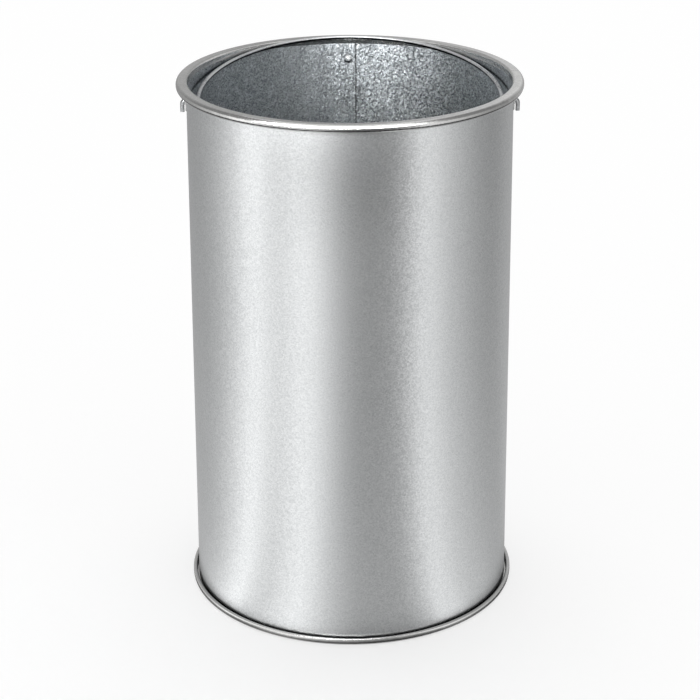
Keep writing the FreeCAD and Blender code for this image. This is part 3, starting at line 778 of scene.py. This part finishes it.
# %% The bottom
def pan_profile():
    low, bend, ledge = 9.5 * MM, 2.6 * MM, 19.6 * MM
    edge = PAN_RADIUS - ledge
    skin = [(0, low), (60 * MM, low), (edge - 7 * MM, low),
            (edge - 5 * MM, low + 0.12 * MM), (edge - 4 * MM, low + 0.5 * MM),
            (edge - 1 * MM, PAN_HEIGHT - 0.5 * MM), (edge, PAN_HEIGHT - 0.12 * MM),
            (edge + 2 * MM, PAN_HEIGHT)]
    skin += arc((PAN_RADIUS - bend, PAN_HEIGHT - bend), bend, 90, 0, 12)
    return thicken(skin + [(PAN_RADIUS, WALL_LOW)], GAUGE)


pan = new_piece("pressed_bottom", turned(pan_profile()), coarse_and_shaded)
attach(pan, "can")
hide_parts("base_pan")
print("bottom:", len(pan.data.polygons), "faces")

# %% [markdown]
# ## The rivets
#
# Five rivets close the seam. Each has a domed head inside, which the photograph shows just below
# the rim, and a flatter one outside. A hammer never sets two alike, so each head is turned and
# squashed a little in its own way.

# %% The rivets
def dome(seat, top, radius, count=9):
    """Half of a profile: a head from its edge to its crown."""
    rise = abs(top - seat)
    size = (radius ** 2 + rise ** 2) / (2 * rise)
    widest = math.asin(radius / size)
    sign = 1 if top > seat else -1
    return [(size * math.sin(widest * (1 - i / count)),
             top - sign * size * (1 - math.cos(widest * (1 - i / count))))
            for i in range(count + 1)]


def rivet_profile():
    shank, seat, widest = 2 * MM, 3.3 * MM, 3.5 * MM
    cap = dome(0.25 * MM, 1.2 * MM, widest)
    button = dome(-1.75 * MM, -3.7 * MM, widest)
    return ([(shank, 0.1 * MM), (seat, 0.1 * MM)] + cap
            + button[::-1] + [(seat, -1.55 * MM), (shank, -1.55 * MM)])


def head_painted_shade(point):
    """A crescent of painted shade at the edge of the head inside, on its lower side."""
    return fade(point.xy.length + 0.3 * point.y, 3.5 * MM, 3.1 * MM) if point.z < 0 else 0


def make_rivet(index):
    height = RIVET_HEIGHTS[index]
    mesh = turned(rivet_profile(), count=40)
    for vertex in mesh.verts:
        if vertex.co.z < -2 * MM:
            turn = math.atan2(vertex.co.y, vertex.co.x) + index
            vertex.co.x *= 1 - 0.02 * (1 + math.sin(2 * turn))
            vertex.co.y *= 1 - 0.02 * (1 + math.cos(3 * turn))
    paint_shade_and_grime(mesh, head_painted_shade)
    lean = math.atan(WALL_FLARE / CREST)
    mesh.transform(Matrix.Translation((RIVET_X, wall_radius(height), height))
                   @ Matrix.Rotation(lean, 4, "X") @ Matrix.Rotation(-math.pi / 2, 4, "X"))
    piece = new_piece("rivet_%d" % (index + 1), mesh, hammered, smooth_angle=50)
    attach(piece, "can")
    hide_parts("seam_rivets")
    return piece


rivets = [make_rivet(index) for index in range(5)]
print("rivets:", len(rivets), "of", len(rivets[0].data.polygons), "faces each")

# %% [markdown]
# ## The ears
#
# A small plate with round ends stiffens the wall where the bail turns. A tubular eyelet goes
# through plate and wall and is rolled over on both sides, so that the wire can't cut the sheet.

# %% The ears
def wall_loop(reach, straight, side, count=64):
    """A loop of points at a depth from the wall: a circle, or one with straight flanks."""
    points = []
    for i in range(count):
        angle = 2 * math.pi * i / count
        along, up = math.cos(angle), math.sin(angle)
        centre = math.copysign(straight, up) if abs(up) > 1e-9 else 0
        across, height = along * reach, PIVOT + centre + up * reach
        radius = wall_radius(height) + side
        points.append(Vector((math.sqrt(radius ** 2 - across ** 2), across, height)))
    return points


def make_ear(hand, turn):
    near, edge, small = SLIP, 0.3 * MM, 0.1 * MM

    def outline(inset, side):
        return wall_loop(8 * MM - inset, 2 * MM, side)

    loops = [wall_loop(EAR_HOLE, 0, near), outline(3 * MM, near), outline(small, near),
             outline(0, near + small), outline(0, EAR_FACE - edge),
             outline(0.09 * MM, EAR_FACE - small), outline(edge, EAR_FACE),
             outline(1.5 * MM, EAR_FACE), outline(3 * MM, EAR_FACE),
             wall_loop(EAR_HOLE, 0, EAR_FACE)]
    mesh = bmesh.new()
    rings = [[mesh.verts.new(point) for point in loop] for loop in loops]
    for one, two in zip(rings, rings[1:] + rings[:1]):
        join_loops(mesh, one, two)
    mesh.transform(Matrix.Rotation(turn, 4, "Z"))
    piece = new_piece("ear_%s_plate" % hand, mesh, burnished, smooth_angle=50)
    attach(piece, "can")
    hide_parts("ear_plate_" + hand)
    return piece


def make_eyelet(hand, turn):
    play, roll = 0.15 * MM, 0.6 * MM
    outside = wall_radius(PIVOT) + EAR_FACE + play + roll
    inside = wall_radius(PIVOT) - GAUGE - play - roll
    bore, shank, flange, bend = 2.3 * MM, 2.9 * MM, 4.6 * MM, 0.85 * MM
    skin = [(flange - 0.2 * MM, inside + 0.12 * MM), (flange - 0.5 * MM, inside)]
    skin += arc((bore + bend, inside + bend), bend, 270, 180, 8)
    skin += arc((bore + bend, outside - bend), bend, 180, 90, 8)
    skin += [(flange - 0.5 * MM, outside), (flange - 0.2 * MM, outside - 0.12 * MM)]
    back = [(flange, outside - 0.3 * MM), (flange - 0.1 * MM, outside - 0.58 * MM),
            (shank + 0.05 * MM, outside - roll), (shank, outside - 0.8 * MM),
            (shank, inside + 0.8 * MM), (shank + 0.05 * MM, inside + roll),
            (flange - 0.1 * MM, inside + 0.58 * MM), (flange, inside + 0.3 * MM)]
    mesh = turned(skin + back, count=48)
    mesh.transform(Matrix.Rotation(turn, 4, "Z") @ Matrix.Translation((0, 0, PIVOT))
                   @ Matrix.Rotation(math.pi / 2, 4, "Y"))
    piece = new_piece("ear_%s_eyelet" % hand, mesh, bright, smooth_angle=50)
    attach(piece, "can")
    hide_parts("eyelet_" + hand)
    return piece


for hand, turn in (("right", 0), ("left", math.pi)):
    make_ear(hand, turn)
    make_eyelet(hand, turn)
print("ears at", PIVOT, "m above the floor")

# %% [markdown]
# ## The bail
#
# The wire is a round tube that follows its line of points. Its lower side in the mouth is
# darkened with painted shade, and the hooks outside are a little dull.

# %% The wire round its line
MOUTH_SIDE = 147.5 * MM


def wire_shade_and_dullness(point, centre):
    """Painted shade on the wire's lower side in the mouth, and dullness on the hooks, from 0 to 1.
    """
    if centre.xy.length >= MOUTH_SIDE:
        return 0.3
    inward = Vector((-centre.x, -centre.y, 0)).normalized()
    under = (inward * 0.55 + Vector((0, 0, -0.84))).normalized()
    facing = (point - centre).normalized().dot(under)
    return min(max((facing - 0.2) * 4, 0), 1)


def make_wire(name, line, radius, material, sides=28):
    """A round tube along a line, whose first end is rounded."""
    mesh = bmesh.new()
    layer = mesh.verts.layers.float.new("shade_and_grime")
    rings = []

    def ring(centre, direction, size, up):
        across = direction.cross(up).normalized()
        rings.append([mesh.verts.new(centre + across * (size * math.cos(2 * math.pi * k / sides))
                                     + up * (size * math.sin(2 * math.pi * k / sides)))
                      for k in range(sides)])

    rounding, steps = 1.2 * MM, 5
    up = Vector((0, 1, 0))
    for i, centre in enumerate(line):
        direction = (line[min(i + 1, len(line) - 1)] - line[max(i - 1, 0)]).normalized()
        up = (up - direction * up.dot(direction)).normalized()
        if i > 0:
            ring(centre, direction, radius, up)
            continue
        for step in range(steps):
            bulge = math.sin(math.pi / 2 * step / steps)
            ring(centre + direction * rounding * (1 - bulge), direction,
                 radius - rounding + rounding * bulge, up)
    for one, two in zip(rings, rings[1:]):
        join_loops(mesh, one, two)
    mesh.faces.new(rings[0][::-1])
    mesh.faces.new(rings[-1])
    for one, centre in zip(rings[steps:], line[1:]):
        for vertex in one:
            vertex[layer] = wire_shade_and_dullness(vertex.co, centre)
    return new_piece(name, mesh, material, smooth_angle=50)


bail = make_wire("bail_wire", wire_line, WIRE_RADIUS, drawn)
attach(bail, "bail")
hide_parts("bail")
print("bail:", len(bail.data.polygons), "faces")

# %% [markdown]
# ## The stage
#
# The floor is a pale grey sheet. A glow that only the camera and the metal see lifts it to white
# out to the horizon, and the soft shadow of the can stays. The world round it is white too.

# %% Floor and world
FLOOR_COLOUR, FLOOR_GLOW = (0.45, 0.45, 0.45, 1), 0.572
WORLD_LIGHT, WORLD_SEEN = 0.65, 1.0
WHITE = (1, 1, 1, 1)


def seen_directly(tree):
    """1 for rays from the camera and for those that metal or glass sends on, and 0 for others."""
    path = add_node(tree, "ShaderNodeLightPath")
    total = path.outputs["Is Camera Ray"]
    for name in ("Is Glossy Ray", "Is Transmission Ray"):
        total = compute(tree, "MAXIMUM", total, path.outputs[name])
    return total


def make_floor():
    mesh = bmesh.new()
    bmesh.ops.create_circle(mesh, cap_ends=True, segments=96, radius=8)
    material = bpy.data.materials.new("white floor")
    material.use_nodes = True
    tree = material.node_tree
    fill(tree.nodes["Principled BSDF"], Base_Color=FLOOR_COLOUR, Roughness=0.9,
         Specular_IOR_Level=0.0, Emission_Color=WHITE,
         Emission_Strength=compute(tree, "MULTIPLY", seen_directly(tree), FLOOR_GLOW))
    floor = new_piece("floor", mesh, material)


def make_world():
    world = bpy.data.worlds.new("studio")
    bpy.context.scene.world = world
    world.use_nodes = True
    tree = world.node_tree
    strength = fill(add_node(tree, "ShaderNodeMapRange"), Value=seen_directly(tree),
                    To_Min=WORLD_LIGHT, To_Max=WORLD_SEEN)
    fill(tree.nodes["Background"], Color=WHITE, Strength=strength.outputs[0])


make_floor()
make_world()
print("floor and world are white")

# %% [markdown]
# ## Light
#
# One very soft lamp from behind gives the shadow its direction. It is weak, because the white
# studio itself lights the can evenly. It is a sun lamp, so the floor is as white far off as it
# is beside the can. The metal doesn't mirror it.

# %% Lamp
def make_lamp(name, azimuth, elevation, softness, strength):
    """A soft sun lamp. Azimuth 0 is the camera's side, and the right is positive."""
    data = bpy.data.lights.new(name, "SUN")
    data.angle, data.energy = math.radians(softness), strength
    lamp = bpy.data.objects.new(name, data)
    bpy.context.scene.collection.objects.link(lamp)
    turn, lift = math.radians(azimuth), math.radians(elevation)
    source = Vector((math.sin(turn) * math.cos(lift), -math.cos(turn) * math.cos(lift),
                     math.sin(lift)))
    lamp.location = source * 3
    lamp.rotation_euler = source.to_track_quat("Z", "Y").to_euler()
    lamp.visible_glossy = False
    return lamp


lamp = make_lamp("lamp_behind", azimuth=178, elevation=72, softness=45, strength=0.95)
print("lamp:", lamp.name)

# %% [markdown]
# Metal is lit by what it mirrors, so a studio hangs a tent of paper round it. Its sheets run from
# light to dark and draw the long soft bands on the wall. The tent here is a ring of paper that
# comes in at the foot and closes overhead. Only glossy rays see it, so it throws no shadow, and
# the camera looks straight through it. Each entry of a table is a direction, counted from the
# camera's side, and the tone of the paper there. Above the height of the can, a bright opening
# in front lets in the light that the back of the mouth and the front of the rim return.

# %% Tones of the paper tent
TENT_TONES = [
    (-180, 0.378), (-150, 0.378), (-119, 0.393), (-99, 0.445), (-85, 0.587), (-74, 0.815),
    (-64, 1.180), (-55, 1.490), (-47, 1.059), (-39, 0.990), (-31, 1.233), (-24, 1.365),
    (-17, 1.125), (-10, 0.754), (-3, 0.482), (3, 0.345), (10, 0.311), (17, 0.327),
    (24, 0.374), (31, 0.634), (39, 1.144), (47, 1.043), (55, 0.765), (64, 0.638),
    (74, 0.502), (85, 0.394), (99, 0.361), (119, 0.482), (150, 0.482), (180, 0.482),
]
ROOF_TONES = [
    (-180, 0.42), (-140, 0.52), (-95, 0.25), (-54, 0.35), (-47, 2.0), (-39, 20.0),
    (-20, 30.0), (-8, 14.0), (12, 8.0), (28, 4.00), (42, 1.00), (56, 0.30),
    (95, 0.25), (140, 0.85), (180, 0.42),
]
OVERHEAD_TONE = 0.95
SHADE_HEIGHT = 0.38
print("tones:", len(TENT_TONES), "for the sheets and", len(ROOF_TONES), "for the opening")

# %% [markdown]
# The tent is a net of rows and columns too. A row has a radius and a height, its share of the
# sheets' tones, the highest tone that it takes from the opening, its share of the overhead tone,
# and the white that the floor lends it. Next to the foot the tent is in the can's own shadow.

# %% The paper tent
OPEN, HALF_OPEN = 99, 2.4
TENT_ROWS = [
    (0.1597, 0.0003, 0.05, 0, 0, 0), (0.1635, 0.0004, 0.3, 0, 0, 0),
    (0.169, 0.0007, 1, 0, 0, 0.1), (0.195, 0.006, 1, 0, 0, 0.25),
    (0.26, 0.06, 1, 0, 0, 0.2), (0.34, 0.20, 1, 0, 0, 0.1), (0.34, 0.32, 1, 0, 0, 0.05),
    (0.34, 0.41, 1, 0, 0, 0), (0.34, 0.52, 1, 0, 0, 0),
    (0.34, 0.55, 0, OPEN, 0, 0), (0.34, 0.63, 0, OPEN, 0, 0),
    (0.33, 0.69, 0, HALF_OPEN, 0, 0), (0.28, 0.80, 0, HALF_OPEN, 0, 0),
    (0.20, 0.87, 0, 0, 1, 0), (0.01, 0.93, 0, 0, 1, 0),
]


def paper_tone(azimuth, height, sheets, opening, overhead, white):
    """The tone of the paper. High up, the sheets in front hang in shade."""
    if height > SHADE_HEIGHT:
        sheets *= 1 - 0.35 * fade(abs(azimuth + 5), 15, 45)
        sheets *= 1 - 0.25 * fade(abs(azimuth - 10), 12, 26)
    tone = (sheets * look_up(TENT_TONES, azimuth) + min(look_up(ROOF_TONES, azimuth), opening)
            + overhead * OVERHEAD_TONE)
    return tone + max(1 - tone, 0) * white


def make_paper():
    material = bpy.data.materials.new("paper tent")
    material.use_nodes = True
    tree = material.node_tree
    tree.nodes.remove(tree.nodes["Principled BSDF"])
    tone = add_node(tree, "ShaderNodeAttribute", attribute_name="tone")
    glow = fill(add_node(tree, "ShaderNodeEmission"), Color=WHITE, Strength=tone.outputs["Fac"])
    fill(tree.nodes["Material Output"], Surface=glow.outputs[0])
    return material


def make_tent():
    mesh = bmesh.new()
    layer = mesh.verts.layers.float.new("tone")
    columns = []
    for azimuth in range(-180, 180, 3):
        turn = math.radians(azimuth)
        across = Vector((math.sin(turn), -math.cos(turn), 0))
        column = []
        for radius, height, *shares in TENT_ROWS:
            vertex = mesh.verts.new(across * radius + Vector((0, 0, height)))
            vertex[layer] = paper_tone(azimuth, height, *shares)
            column.append(vertex)
        columns.append(column)
    for one, two in zip(columns, columns[1:] + columns[:1]):
        for k in range(len(TENT_ROWS) - 1):
            mesh.faces.new((one[k], two[k], two[k + 1], one[k + 1]))
    tent = new_piece("paper_tent", mesh, make_paper())
    for kind in ("camera", "diffuse", "transmission", "volume_scatter", "shadow"):
        setattr(tent, "visible_" + kind, False)
    return tent


tent = make_tent()
print("tent:", len(tent.data.polygons), "sheets")

# %% [markdown]
# ## Settings
#
# Colours are shown as they are, without a film look.

# %% View
bpy.context.scene.view_settings.view_transform = "Standard"
